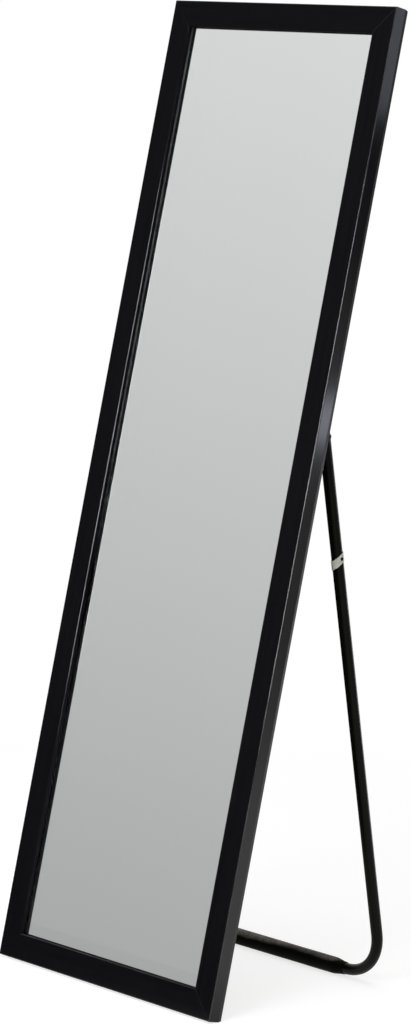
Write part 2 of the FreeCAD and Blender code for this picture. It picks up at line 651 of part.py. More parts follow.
# Clip band: a strip wound off square round the right leg, held by a rivet on its outer side
BAND_RADIUS = f"({TUBE_RADIUS} + Sizes.band_thickness)"
BAND_REACH = "(2 * Sizes.tube_diameter + Sizes.band_width)"
BAND_SEAT = on_leg(LEG_X, z="-Sizes.band_drop", turn="rotationz(-Sizes.band_turn)")
outside = doc.addObject("Part::Cylinder", "band_outside")
inside = doc.addObject("Part::Cylinder", "band_inside")
for shell, radius in ((outside, BAND_RADIUS), (inside, TUBE_RADIUS)):
    shell.setExpression("Radius", radius)
    shell.setExpression("Height", f"2 * {BAND_REACH}")
    shell.setExpression("Placement", f"{BAND_SEAT} * {at(z=f'-{BAND_REACH}')}")
ring = doc.addObject("Part::Cut", "band_ring")
ring.Base = outside
ring.Tool = inside
slab = doc.addObject("Part::Box", "band_slab")
slab.setExpression("Length", f"2 * {BAND_REACH}")
slab.setExpression("Width", f"2 * {BAND_REACH}")
slab.setExpression("Height", "Sizes.band_width")
slab.setExpression("Placement", f"{BAND_SEAT} * {at(turn='rotationx(Sizes.band_tilt)')} * "
                                f"{at(f'-{BAND_REACH}', f'-{BAND_REACH}', '-Sizes.band_width / 2')}")
strip = doc.addObject("Part::Common", "band_strip")
strip.Base = ring
strip.Tool = slab
drill = doc.addObject("Part::Cylinder", "band_drill")
drill.setExpression("Radius", "Sizes.rivet_diameter / 2")
drill.setExpression("Height", "Sizes.tube_diameter")
drill.setExpression("Placement", on_leg(LEG_X, z=f"{BAND_RISE} - Sizes.band_drop", turn="rotationy(90)"))
band = doc.addObject("Part::Cut", "clip_band")
band.Base = strip
band.Tool = drill
parts["clip_band"] = band

rivet = new_body("clip_rivet", on_leg(f"{LEG_X} + {BAND_RADIUS}", z=f"{BAND_RISE} - Sizes.band_drop",
                                      turn="rotationy(90)"))
rivet_half = new_sketch(rivet, "clip_rivet_half", "XZ_Plane")
RIVET_IN = "-(Sizes.band_thickness + Sizes.tube_wall)"
polygon(rivet_half, (
    ("0", RIVET_IN),
    ("Sizes.rivet_diameter / 2", RIVET_IN),
    ("Sizes.rivet_diameter / 2", "0"),
    ("Sizes.rivet_head / 2", "0"),
    ("Sizes.rivet_head / 2", "Sizes.rivet_rise"),
    ("0", "Sizes.rivet_rise"),
))
revolve(rivet, rivet_half)

# Nothing is written unless every object is sound
doc.recompute()
for obj in doc.Objects:
    if "Invalid" in obj.State or "Error" in obj.State:
        raise RuntimeError(f"{obj.Label}: {obj.State}")
for label, obj in parts.items():
    if obj.Shape.isNull() or not obj.Shape.isValid() or not obj.Shape.Solids:
        raise RuntimeError(f"{label}: no sound solid")
os.makedirs("parts", exist_ok=True)
for label, obj in parts.items():
    obj.Label = label
    obj.Shape.exportStep(f"parts/{label}.step")
    print(f"{label}: {len(obj.Shape.Solids)} solid(s), {obj.Shape.Volume:.1f} mm3")
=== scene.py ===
import json
from math import cos, pi, radians, sin, tan

import bmesh
import bpy
import numpy as np
from mathutils import Matrix


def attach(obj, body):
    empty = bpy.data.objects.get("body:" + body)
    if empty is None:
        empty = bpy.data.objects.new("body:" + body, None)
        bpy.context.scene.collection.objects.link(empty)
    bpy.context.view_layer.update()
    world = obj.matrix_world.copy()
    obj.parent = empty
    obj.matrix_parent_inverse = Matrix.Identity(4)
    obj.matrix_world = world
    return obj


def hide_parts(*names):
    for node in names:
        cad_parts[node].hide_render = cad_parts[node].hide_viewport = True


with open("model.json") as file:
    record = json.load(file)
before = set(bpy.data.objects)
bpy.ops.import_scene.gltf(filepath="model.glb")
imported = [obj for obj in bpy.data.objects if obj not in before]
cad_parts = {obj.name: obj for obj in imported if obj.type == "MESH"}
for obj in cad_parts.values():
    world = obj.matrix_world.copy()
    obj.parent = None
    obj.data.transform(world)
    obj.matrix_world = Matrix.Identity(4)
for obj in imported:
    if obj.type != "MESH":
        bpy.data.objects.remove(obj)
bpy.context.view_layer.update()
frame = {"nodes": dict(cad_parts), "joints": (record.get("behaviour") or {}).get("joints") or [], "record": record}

nodes = frame["nodes"]

# Frame mouldings
# Four lengths of rebated wood with a shallow bevel at the back of their outer side, mitred at the corners
# and painted satin black all round. A fine groove shows at each mitre; the paint is thin from rubbing on
# the arrises and duller on the bevel. A highlight is painted on the left stile's inner arris, and light on
# its lip at the lower end.
LEAN = radians(9.5)
FRAME_WIDTH = 0.500
FRAME_HEIGHT = 1.600
FACE = 0.043
THICKNESS = 0.028
LIP = 0.007
REBATE = 0.008
FRONT_ROUND = 0.0012
BACK_BEVEL = 0.007
BACK_SETBACK = 0.0015
BEVEL_ROUND = 0.008
BACK_ROUND = 0.001
SHARP_ROUND = 0.0006
SHARP_EDGE = radians(40)
MITRE_GROOVE = 0.0004
ROUND_STEPS = 9
FLAT_MARGIN = 0.0005
BAR_STATIONS = 25
ACROSS = np.array([1.0, 0.0, 0.0])
INWARD = np.array([0.0, cos(LEAN), -sin(LEAN)])
UPWARD = np.array([0.0, sin(LEAN), cos(LEAN)])
MIRROR_SEAT = np.array(frame["record"]["mounts"][0]["pos_m"]) - INWARD * THICKNESS / 2


def rounded_outline(corners, radii, steps, margin):
    """Closed outline with rounded corners, and a mark of 1 on the points that lie on a round.

    With unit directions a and b from a corner to its neighbours and h half the angle between them, the
    round starts r / tan h along a, ends as far along b, and its middle is r / sin h along the bisector.
    Points on it divide the turn evenly. One more point, a margin beyond each end, keeps the flat beside
    the round flat.
    """
    corners = np.array(corners, float)
    radii = np.array(radii, float)[:, None]
    back = np.roll(corners, 1, axis=0) - corners
    on = np.roll(corners, -1, axis=0) - corners
    back = back / np.linalg.norm(back, axis=1, keepdims=True)
    on = on / np.linalg.norm(on, axis=1, keepdims=True)
    half = np.arccos(np.sum(back * on, axis=1, keepdims=True)) / 2
    reach = radii / np.tan(half)
    bisector = (back + on) / np.linalg.norm(back + on, axis=1, keepdims=True)
    middle = corners + bisector * radii / np.sin(half)
    start = corners + back * reach - middle
    end = corners + on * reach - middle
    turn = pi - 2 * half
    share = np.linspace(0, 1, steps)
    from_start = (np.sin((1 - share) * turn) / np.sin(turn))[:, :, None]
    from_end = (np.sin(share * turn) / np.sin(turn))[:, :, None]
    arcs = middle[:, None] + from_start * start[:, None] + from_end * end[:, None]
    before = (corners + back * (reach + margin))[:, None]
    after = (corners + on * (reach + margin))[:, None]
    points = np.concatenate((before, arcs, after), axis=1)
    marks = np.zeros(points.shape[:2])
    marks[:, 1:-1] = 1
    return points.reshape(-1, 2), marks


def grid_quads(rows, columns, wrap_rows=False):
    """Quads of a grid whose columns close on themselves: each joins a point to the next column and row."""
    index = np.arange(rows * columns).reshape(rows, columns)
    beside = np.roll(index, -1, axis=1)
    below = np.roll(index, -1, axis=0)
    corner = np.roll(beside, -1, axis=0)
    quads = np.stack((index, beside, corner, below), axis=-1)
    if not wrap_rows:
        quads = quads[:-1]
    return quads.reshape(-1, 4)


def end_caps(rows, columns):
    """The first and the last row of a grid, each as one face."""
    return np.arange(rows * columns).reshape(rows, columns)[[0, -1]]


def mitred_bar(length, outline, groove):
    """Bar along its third axis: the outline carried along, every point stopped by the mitres.

    A point that is w inside the outer edge runs from -(length / 2 - w) to length / 2 - w. The end rings
    are drawn in along the outline's own normal by the groove, so that two bars meet in a fine V.
    """
    along = np.roll(outline, -1, axis=0) - np.roll(outline, 1, axis=0)
    along = along / np.linalg.norm(along, axis=1, keepdims=True)
    outside = np.stack((-along[:, 1], along[:, 0]), axis=1)
    drawn_in = outline - outside * groove
    stations = np.linspace(-1, 1, BAR_STATIONS)[:, None]
    runs = stations * (length / 2 - outline[:, 0] - groove)
    every_station = np.broadcast_to(outline, (BAR_STATIONS, *outline.shape))
    middle = np.concatenate((every_station, runs[:, :, None]), axis=2)
    stop = (length / 2 - drawn_in[:, 0])[:, None]
    low = np.concatenate((drawn_in, -stop), axis=1)[None]
    high = np.concatenate((drawn_in, stop), axis=1)[None]
    return np.concatenate((low, middle, high))


def ease(value, low, high):
    """Smooth step from 0 at low to 1 at high."""
    share = np.clip((value - low) / (high - low), 0, 1)
    return share * share * (3 - 2 * share)


def placed(points, seat, x_axis, y_axis, z_axis):
    """Points set on a seat: seat + x along the first axis + y along the second + z along the third."""
    return seat + points @ np.array([x_axis, y_axis, z_axis])


def new_piece(name, points, faces, material, body, replaced):
    """Mesh of the points and faces, smooth but for its sharp edges, riding on a body in place of a node."""
    mesh = bpy.data.meshes.new(name)
    mesh.from_pydata(points.reshape(-1, 3).tolist(), [], faces)
    shell = bmesh.new()
    shell.from_mesh(mesh)
    bmesh.ops.recalc_face_normals(shell, faces=shell.faces)
    shell.to_mesh(mesh)
    shell.free()
    mesh.shade_smooth()
    mesh.set_sharp_from_angle(angle=SHARP_EDGE)
    mesh.materials.append(material)
    piece = bpy.data.objects.new(name, mesh)
    bpy.context.scene.collection.objects.link(piece)
    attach(piece, body)
    if replaced:
        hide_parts(replaced)
    return piece


def mark_points(piece, name, values):
    """A number or a vector on every point of a piece, for its material to read."""
    vector = values.ndim > 1
    layer = piece.data.attributes.new(name, "FLOAT_VECTOR" if vector else "FLOAT", "POINT")
    layer.data.foreach_set("vector" if vector else "value", values.astype(np.float32).ravel())


def add_node(tree, kind, inputs, **settings):
    """A node with its settings; an input that is a socket is linked, any other is set."""
    node = tree.nodes.new(kind)
    for key, value in settings.items():
        setattr(node, key, value)
    for key, value in inputs.items():
        if isinstance(value, bpy.types.NodeSocket):
            tree.links.new(value, node.inputs[key])
        else:
            node.inputs[key].default_value = value
    return node


def arithmetic(tree, operation, first, second):
    """One Math node."""
    return add_node(tree, "ShaderNodeMath", {0: first, 1: second}, operation=operation).outputs[0]


def spread(tree, value, low, high, start=0.25, end=0.75):
    """A value brought from start..end to low..high."""
    levels = {"Value": value, "From Min": start, "From Max": end, "To Min": low, "To Max": high}
    return add_node(tree, "ShaderNodeMapRange", levels).outputs["Result"]


def blend_colours(tree, share, first, second):
    """The first colour where the share is 0 and the second where it is 1."""
    sockets = {"Factor_Float": share, "A_Color": first, "B_Color": second}
    node = tree.nodes.new("ShaderNodeMix")
    node.data_type = "RGBA"
    for socket in node.inputs:
        if socket.identifier in sockets:
            value = sockets[socket.identifier]
            if isinstance(value, bpy.types.NodeSocket):
                tree.links.new(value, socket)
            else:
                socket.default_value = (*value, 1) if socket.type == "RGBA" else value
    return next(socket for socket in node.outputs if socket.type == "RGBA")


def new_finish(name, **sockets):
    """A material with plain values on its Principled shader; gives the material, its tree and the shader."""
    material = bpy.data.materials.new(name)
    material.use_nodes = True
    tree = material.node_tree
    shader = tree.nodes["Principled BSDF"]
    for key, value in sockets.items():
        shader.inputs[key.replace("_", " ")].default_value = value
    return material, tree, shader


def relief(tree, shader, height, distance, strength):
    """Bump of a height in metres."""
    bump = add_node(tree, "ShaderNodeBump", {"Height": height, "Distance": distance, "Strength": strength})
    tree.links.new(bump.outputs["Normal"], shader.inputs["Normal"])


def grain_group():
    """Shader group with two noises on a stretched vector: fine speckle and coarse cloud, each near 0.5."""
    tree = bpy.data.node_groups.new("finish_grain", "ShaderNodeTree")
    for name in ("Vector", "Stretch"):
        tree.interface.new_socket(name, in_out="INPUT", socket_type="NodeSocketVector")
    for name in ("Fine", "Coarse"):
        tree.interface.new_socket(name, in_out="INPUT", socket_type="NodeSocketFloat")
    for name in ("Speckle", "Cloud"):
        tree.interface.new_socket(name, in_out="OUTPUT", socket_type="NodeSocketFloat")
    given = tree.nodes.new("NodeGroupInput").outputs
    result = tree.nodes.new("NodeGroupOutput").inputs
    stretched = add_node(tree, "ShaderNodeVectorMath", {0: given["Vector"], 1: given["Stretch"]},
                         operation="MULTIPLY").outputs["Vector"]
    for scale, name, detail in (("Fine", "Speckle", 2), ("Coarse", "Cloud", 4)):
        sockets = {"Vector": stretched, "Scale": given[scale], "Detail": detail}
        noise = add_node(tree, "ShaderNodeTexNoise", sockets)
        tree.links.new(noise.outputs["Fac"], result[name])
    return tree


GRAIN = grain_group()


def grain(tree, vector, stretch, fine, coarse):
    """The grain group placed in a material; gives its speckle and its cloud."""
    sockets = {"Vector": vector, "Stretch": stretch, "Fine": fine, "Coarse": coarse}
    node = add_node(tree, "ShaderNodeGroup", sockets, node_tree=GRAIN)
    return node.outputs["Speckle"], node.outputs["Cloud"]


def attribute(tree, name, output):
    """A mark that the piece carries on its points."""
    return add_node(tree, "ShaderNodeAttribute", {}, attribute_name=name).outputs[output]


PAINT_DARK = (0.0030, 0.0029, 0.0040)
PAINT_LIGHT = (0.0056, 0.0054, 0.0070)
# Grey of the primer, also painted light on the left stile's lip at its lower end
PRIMER_AND_LIGHT_GREY = (0.60, 0.60, 0.62)
# Grey of arrises where the paint is rubbed through, also the painted highlight on the left stile's inner arris
RUBBED_AND_HIGHLIT_GREY = (0.075, 0.074, 0.078)
paint, tree, shader = new_finish("satin_black_paint", Specular_IOR_Level=0.5)
board = attribute(tree, "board", "Vector")
arris = attribute(tree, "arris", "Fac")
speckle, cloud = grain(tree, board, stretch=(0.03, 1, 1), fine=1500, coarse=160)
peel, patches = grain(tree, board, stretch=(1, 1, 1), fine=2600, coarse=9)
worn_and_highlit = arithmetic(tree, "MULTIPLY", arris, spread(tree, patches, 0.25, 1.0, start=0.4, end=0.65))
black = blend_colours(tree, spread(tree, cloud, 0, 1), PAINT_DARK, PAINT_LIGHT)
# Primer grey where the paint missed the lip, and painted light on the left stile's lip at its lower end
black = blend_colours(tree, attribute(tree, "primer_and_light", "Fac"), black, PRIMER_AND_LIGHT_GREY)
# Rubbed grey on the arrises; on the left stile's inner arris it is also a painted highlight
tree.links.new(blend_colours(tree, worn_and_highlit, black, RUBBED_AND_HIGHLIT_GREY), shader.inputs["Base Color"])
dull = spread(tree, attribute(tree, "bevel", "Fac"), 0.0, 0.30, start=0.0, end=1.0)
gloss = spread(tree, arithmetic(tree, "ADD", speckle, patches), 0.10, 0.16, start=0.7, end=1.3)
tree.links.new(arithmetic(tree, "ADD", gloss, dull), shader.inputs["Roughness"])
surface = arithmetic(tree, "ADD", speckle, arithmetic(tree, "MULTIPLY", peel, 0.35))
relief(tree, shader, surface, distance=0.00012, strength=0.12)

# The outline goes from the outer front corner along the side and its bevel, round the back, the rebate
# and the lip. Each corner has its round and how far rubbing thins its paint on every bar, and the inner
# arris is marked for what each bar gives it: rubbing, and on the left stile a painted highlight
OUTLINE_CORNERS = ((0, 0), (0, THICKNESS - BACK_BEVEL), (BACK_SETBACK, THICKNESS),
                   (FACE - REBATE, THICKNESS), (FACE - REBATE, LIP), (FACE, LIP), (FACE, 0))
OUTLINE_ROUNDS = (FRONT_ROUND, BEVEL_ROUND, BACK_ROUND, SHARP_ROUND, SHARP_ROUND, SHARP_ROUND, FRONT_ROUND)
OUTER_WEAR = np.array((1.0, 0.0, 0.5, 0.0, 0.0, 0.0, 0.0))[:, None]
INNER_ARRIS = np.array((0.0, 0.0, 0.0, 0.0, 0.0, 0.0, 1.0))[:, None]
outline, on_round = rounded_outline(OUTLINE_CORNERS, OUTLINE_ROUNDS, ROUND_STEPS, FLAT_MARGIN)
outer_wear = (on_round * OUTER_WEAR).ravel()
inner_arris = (on_round * INNER_ARRIS).ravel()
rings = BAR_STATIONS + 2
around = len(outline)
bar_faces = grid_quads(rings, around).tolist() + end_caps(rings, around).tolist()
past_bevel = outline[:, 1] - THICKNESS + BACK_BEVEL
bevel_mark = np.where(outline[:, 0] < FACE / 2, np.clip(past_bevel / FLAT_MARGIN, 0, 1), 0)

# The left stile's inner arris is thin from rubbing over its middle, with a painted highlight there. From
# the middle up the paint missed the under side of its lip, whose grey primer shows in the glass; at the
# lower end light is painted in that grey on the under side of the lip and on the lip's wall. Each pair is
# where a change starts and ends, as a share of the way up
RUBBED_AND_HIGHLIT_FROM = (0.15, 0.36)
RUBBED_AND_HIGHLIT_TO = (0.70, 0.97)
BARE_FROM = (0.38, 0.56)
# Light painted on the lip's wall and under side at the lower end
PAINTED_LIGHT_TO = (0.24, 0.38)
PAINTED_LIGHT_ON_WALL = 0.013
PAINTED_LIGHT_UNDER_LIP = 0.16
under_lip = np.isclose(outline[:, 1], LIP).astype(float)
lip_wall = np.isclose(outline[:, 0], FACE).astype(float)
way_up = np.clip((np.arange(rings) - 1) / (BAR_STATIONS - 1), 0, 1)[:, None]
rubbed_and_highlit = ease(way_up, *RUBBED_AND_HIGHLIT_FROM) * (1 - ease(way_up, *RUBBED_AND_HIGHLIT_TO))
bare = ease(way_up, *BARE_FROM) * under_lip
painted_light_low = (1 - ease(way_up, *PAINTED_LIGHT_TO)) * (PAINTED_LIGHT_ON_WALL * lip_wall + PAINTED_LIGHT_UNDER_LIP * under_lip)

# Each bar: its length, the middle of its outer edge in the mirror, its run and its way inwards, then how
# worn its inner arris is (on the left stile also a painted highlight) and its mitres at the start and the end
# of the run, and where primer shows and, on the left stile's lip, where light is painted in its grey
STILE_MIDDLE = FRAME_HEIGHT / 2 * UPWARD
STILE_EDGE = FRAME_WIDTH / 2 * ACROSS
BARS = {
    "top_rail": (FRAME_WIDTH, FRAME_HEIGHT * UPWARD, ACROSS, -UPWARD, 0.0, 0.1, 4.0, 0.0),
    "bottom_rail": (FRAME_WIDTH, 0 * UPWARD, ACROSS, UPWARD, 0.6, 0.1, 0.3, 0.0),
    "left_stile": (FRAME_HEIGHT, STILE_MIDDLE - STILE_EDGE, UPWARD, ACROSS, rubbed_and_highlit, 0.1, 0.1, bare + painted_light_low),
    "right_stile": (FRAME_HEIGHT, STILE_MIDDLE + STILE_EDGE, UPWARD, -ACROSS, 0.3, 0.3, 4.0, 0.0),
}
for number, (name, bar) in enumerate(BARS.items()):
    length, outer_edge, run, inside, inner_wear_and_highlight, start_wear, end_wear, primer_and_light = bar
    solid = mitred_bar(length, outline, MITRE_GROOVE).reshape(-1, 3)
    points = placed(solid, MIRROR_SEAT + outer_edge, inside, INWARD, run)
    piece = new_piece(f"moulding_{name}", points, bar_faces, paint, "mirror", f"frame_{name}")
    wear_and_highlight = np.tile(outer_wear, (rings, 1)) + inner_wear_and_highlight * inner_arris
    wear_and_highlight[0] = start_wear
    wear_and_highlight[-1] = end_wear
    mark_points(piece, "board", solid[:, [2, 0, 1]] + number)
    mark_points(piece, "arris", wear_and_highlight.ravel())
    mark_points(piece, "bevel", np.tile(bevel_mark, rings))
    mark_points(piece, "primer_and_light", np.broadcast_to(primer_and_light, (rings, around)).ravel())

# Mirror glass
# A sheet of 4 mm float glass with ground edges, held in the rebate. The mirror itself is a coat of silver
# on its back, so the lip stands a little off from its own reflection.
GLASS = 0.004
GLASS_FRONT = LIP
EDGE_GAP = 0.001
SILVER_BORDER = 0.0015
SILVER_DEPTH = 0.00012
SILVER_COAT = 0.00006
CLEAR_TINT = (0.985, 0.995, 0.99, 1)
SILVER_DARK = (0.945, 0.948, 0.946)
SILVER_LIGHT = (0.955, 0.956, 0.955)


def object_place(tree):
    """The place of a point on its piece."""
    return add_node(tree, "ShaderNodeTexCoord", {}).outputs["Object"]


def two_tone(tree, shader, cloud, dark, light):
    """Base colour that wanders from a dark to a light tone with the cloud."""
    tone = blend_colours(tree, spread(tree, cloud, 0, 1), dark, light)
    tree.links.new(tone, shader.inputs["Base Color"])


def finish_node(name, finish):
    """One finish on a piece that keeps its solid shape."""
    nodes[name].data.materials.clear()
    nodes[name].data.materials.append(finish)


clear, tree, shader = new_finish("clear_float_glass", Base_Color=CLEAR_TINT, Transmission_Weight=1.0,
                                 IOR=1.52)
_, streaks = grain(tree, object_place(tree), stretch=(1, 1, 0.3), fine=60, coarse=7)
tree.links.new(spread(tree, streaks, 0.0, 0.006, start=0.45, end=0.8), shader.inputs["Roughness"])
finish_node("mirror_glass", clear)

silver, tree, shader = new_finish("silver_coat", Metallic=1.0, Roughness=0.0)
haze, streaks = grain(tree, object_place(tree), stretch=(1, 1, 1), fine=90, coarse=5)
two_tone(tree, shader, streaks, SILVER_DARK, SILVER_LIGHT)
tree.links.new(spread(tree, haze, 0.0, 0.004, start=0.4, end=0.8), shader.inputs["Roughness"])


def thin_coat(half_width, half_height, front, back):
    """Flat coat: four rings of the same rectangle, half as large on the front, full on its edge and on the
    back's edge, and half as large on the back."""
    corners = np.array([(-1, -1), (1, -1), (1, 1), (-1, 1)], float) * (half_width, half_height)
    flats = np.concatenate((corners / 2, corners, corners, corners / 2))
    depth = np.repeat((front, front, back, back), 4)
    return np.stack((flats[:, 0], depth, flats[:, 1]), axis=1)


border = FACE - REBATE + EDGE_GAP + SILVER_BORDER
coat_front = GLASS_FRONT + GLASS - SILVER_DEPTH
coat = thin_coat(FRAME_WIDTH / 2 - border, FRAME_HEIGHT / 2 - border, coat_front, coat_front + SILVER_COAT)
points = placed(coat, MIRROR_SEAT + STILE_MIDDLE, ACROSS, INWARD, UPWARD)
coat_faces = grid_quads(4, 4).tolist() + end_caps(4, 4).tolist()
new_piece("glass_silvering", points, coat_faces, silver, "mirror", None)

# Packing board and back panel
# A sheet of brown packing board lies on the silver, and a 3 mm hardboard panel closes the rebate behind
# it. The panel's smooth side shows at the back, brown, with pressed fibres in it.
PACKING_DARK = (0.36, 0.26, 0.16)
PACKING_LIGHT = (0.47, 0.35, 0.23)
HARDBOARD_DARK = (0.122, 0.066, 0.032)
HARDBOARD_LIGHT = (0.184, 0.103, 0.052)
FIBRE_BROWN = (0.33, 0.21, 0.12)
packing, tree, shader = new_finish("brown_packing_board", Roughness=0.9, Specular_IOR_Level=0.2)
speckle, cloud = grain(tree, object_place(tree), stretch=(1, 1, 0.25), fine=700, coarse=25)
two_tone(tree, shader, cloud, PACKING_DARK, PACKING_LIGHT)
relief(tree, shader, speckle, distance=0.0002, strength=0.4)
finish_node("packing_sheet", packing)

hardboard, tree, shader = new_finish("pressed_hardboard", Specular_IOR_Level=0.35)
place = object_place(tree)
speckle, cloud = grain(tree, place, stretch=(1, 1, 1), fine=420, coarse=14)
fibre, _ = grain(tree, place, stretch=(1, 1, 0.12), fine=1300, coarse=60)
mottle = arithmetic(tree, "ADD", arithmetic(tree, "MULTIPLY", speckle, 0.6), cloud)
brown = blend_colours(tree, spread(tree, mottle, 0, 1, start=0.55, end=1.05), HARDBOARD_DARK, HARDBOARD_LIGHT)
flecks = spread(tree, fibre, 0, 0.55, start=0.60, end=0.74)
tree.links.new(blend_colours(tree, flecks, brown, FIBRE_BROWN), shader.inputs["Base Color"])
tree.links.new(spread(tree, cloud, 0.42, 0.60), shader.inputs["Roughness"])
relief(tree, shader, arithmetic(tree, "ADD", fibre, speckle), distance=0.0002, strength=0.3)
finish_node("back_panel", hardboard)

# V-nails and retaining points
# Zinc-plated steel sheet: wedges driven across the back of each mitre, and flat points pushed into the
# rebate wall over the back panel.
ZINC_DARK = (0.47, 0.47, 0.45)
ZINC_LIGHT = (0.66, 0.66, 0.63)
zinc, tree, shader = new_finish("bright_zinc", Metallic=1.0)
speckle, cloud = grain(tree, object_place(tree), stretch=(1, 1, 1), fine=2200, coarse=180)
two_tone(tree, shader, cloud, ZINC_DARK, ZINC_LIGHT)
spangle = arithmetic(tree, "ADD", speckle, cloud)
tree.links.new(spread(tree, spangle, 0.26, 0.46, start=0.7, end=1.3), shader.inputs["Roughness"])
relief(tree, shader, speckle, distance=0.00006, strength=0.3)
for name in ("corner_v_nails", "retaining_points"):
    finish_node(name, zinc)

# Hinge brackets
# One strip of steel each, pressed into a foot plate and a tapered lug on the inner side of the leg, and
# powder coated black. The coat has the fine ripple of powder.
POWDER_DARK = (0.0016, 0.0018, 0.0012)
POWDER_LIGHT = (0.0030, 0.0032, 0.0022)
coat_black, tree, shader = new_finish("black_powder_coat", Specular_IOR_Level=0.12)
place = object_place(tree)
ripple, cloud = grain(tree, place, stretch=(1, 1, 1), fine=900, coarse=35)
dust, patches = grain(tree, place, stretch=(1, 1, 1), fine=3000, coarse=12)
two_tone(tree, shader, cloud, POWDER_DARK, POWDER_LIGHT)
gloss = spread(tree, arithmetic(tree, "ADD", ripple, patches), 0.20, 0.34, start=0.7, end=1.3)
tree.links.new(gloss, shader.inputs["Roughness"])
powder = arithmetic(tree, "ADD", ripple, arithmetic(tree, "MULTIPLY", dust, 0.2))
relief(tree, shader, powder, distance=0.00015, strength=0.25)
for name in ("left_hinge_bracket", "right_hinge_bracket"):
    finish_node(name, coat_black)

# Bracket screws
# Zinc-plated pan-head screws with a cross recess, turned and pressed from steel wire. Two go through each
# foot plate into the back of the stile.
PIVOT = np.array(frame["joints"][0]["pos_m"])
PIVOT_HEIGHT = 0.926
PIVOT_OFFSET = 0.016
LEG_INSET = 0.0275
TUBE_RADIUS = 0.0095
SIDE_CLEARANCE = 0.0003
WASHER = 0.001
PLATE = 0.002
PLATE_WIDTH = 0.020
LEG_X = FRAME_WIDTH / 2 - LEG_INSET
LUG_X = LEG_X - TUBE_RADIUS - SIDE_CLEARANCE - WASHER - PLATE
SCREW_EDGE = 0.009
SCREW_DROPS = (0.024, 0.050)
SCREW_X = LUG_X + PLATE_WIDTH - SCREW_EDGE
HEAD_RADIUS = 0.0035
HEAD_RISE = 0.0022
SHANK_RADIUS = 0.00175
SCREW_LENGTH = 0.016
SCREW_POINT = 0.003
SCREW_TIP = SHANK_RADIUS / 20
RECESS_HALF = 0.0006
RECESS_WALL = RECESS_HALF / 3
RECESS_REACH = 0.0019
RECESS_FLOOR = 0.8 * RECESS_REACH
RECESS_DEPTH = 0.0012
DOME_MIDDLE = 0.02
DOME_STEPS = 30
COLUMNS = 72


def turned_shape(radius, height, columns):
    """Surface of revolution: each point of the profile carried round the axis in even steps. The profile
    may be given as a column of radii and heights or with a value of its own for every step."""
    angle = np.linspace(0, 2 * pi, columns, endpoint=False)
    radius = np.broadcast_to(radius.reshape(len(radius), -1), (len(radius), columns))
    height = np.broadcast_to(height.reshape(len(height), -1), (len(height), columns))
    return np.stack((radius * np.cos(angle), radius * np.sin(angle), height), axis=-1)


def domed_head(radius, rise):
    """Profile of a low domed head, from its middle to its rim: the height is the rise times the fourth
    root of 1 - (r / R) ** 4."""
    share = np.linspace(DOME_MIDDLE, 1, DOME_STEPS)
    return share * radius, rise * (1 - share ** 4) ** 0.25


def pan_head_screw():
    """Turned screw with its seat at height 0: a domed head, the under side, the shank and the point. The
    cross recess takes its depth off the head wherever a point is within half a slot of either arm, eased
    at the walls."""
    top, dome = domed_head(HEAD_RADIUS, HEAD_RISE)
    radius = np.concatenate((top, [SHANK_RADIUS, SHANK_RADIUS, SCREW_TIP]))
    height = np.concatenate((dome, [0, SCREW_POINT - SCREW_LENGTH, -SCREW_LENGTH]))
    points = turned_shape(radius, height, COLUMNS)
    off_arm = np.minimum(np.abs(points[..., 0]), np.abs(points[..., 1]))
    slot = 1 - ease(off_arm, RECESS_HALF - RECESS_WALL, RECESS_HALF)
    end = 1 - ease(radius, RECESS_FLOOR, RECESS_REACH)[:, None]
    on_head = points[..., 2] > HEAD_RISE / 2
    points[..., 2] -= RECESS_DEPTH * slot * end * on_head
    return points


def row_of_copies(shape, places, ring=False):
    """Points and faces of one closed shape repeated at several places, each a seat and three axes. A ring
    closes on itself through its bore, any other shape is capped at its first and last row."""
    rows, columns = shape.shape[:2]
    flat = shape.reshape(-1, 3)
    points = np.concatenate([placed(flat, *place) for place in places])
    shifts = np.arange(len(places))[:, None, None] * len(flat)
    faces = (grid_quads(rows, columns, wrap_rows=ring) + shifts).reshape(-1, 4).tolist()
    if not ring:
        faces = faces + (end_caps(rows, columns) + shifts).reshape(-1, columns).tolist()
    return points, faces


screw_places = []
for side in (-1, 1):
    for drop in SCREW_DROPS:
        on_plate = side * SCREW_X * ACROSS + (THICKNESS + PLATE) * INWARD + (PIVOT_HEIGHT - drop) * UPWARD
        screw_places.append((MIRROR_SEAT + on_plate, ACROSS, -UPWARD, INWARD))
points, faces = row_of_copies(pan_head_screw(), screw_places)
new_piece("pan_head_screws", points, faces, zinc, "mirror", "bracket_screws")

# Pivot bolts, washers and lock nuts
# An M6 bolt with a low round black head goes through each leg of the tube, a washer and the lug, and a
# flanged lock nut holds it on the inner side. Washers and nuts are zinc plated; the end of the bolt has a
# rolled thread.
BOLT_RADIUS = 0.003
BOLT_HEAD = 0.0045
BOLT_RISE = 0.002
BOLT_END = 0.0015
NUT_FLATS = 0.010
NUT_HEIGHT = 0.006
NUT_FACE = 0.97 * NUT_FLATS / 2
FLANGE_RADIUS = 0.0065
FLANGE = 0.0012
FLANGE_EASE = 0.35 * FLANGE
THREAD_PITCH = 0.001
THREAD_DEPTH = 0.0005
THREAD_ROOT = BOLT_RADIUS - THREAD_DEPTH
THREAD_TIP = THREAD_ROOT / 50
THREAD_STEPS = 70
GRIP = PLATE + WASHER + 2 * TUBE_RADIUS + 2 * SIDE_CLEARANCE
CHAMFER_SLOPE = tan(radians(30))


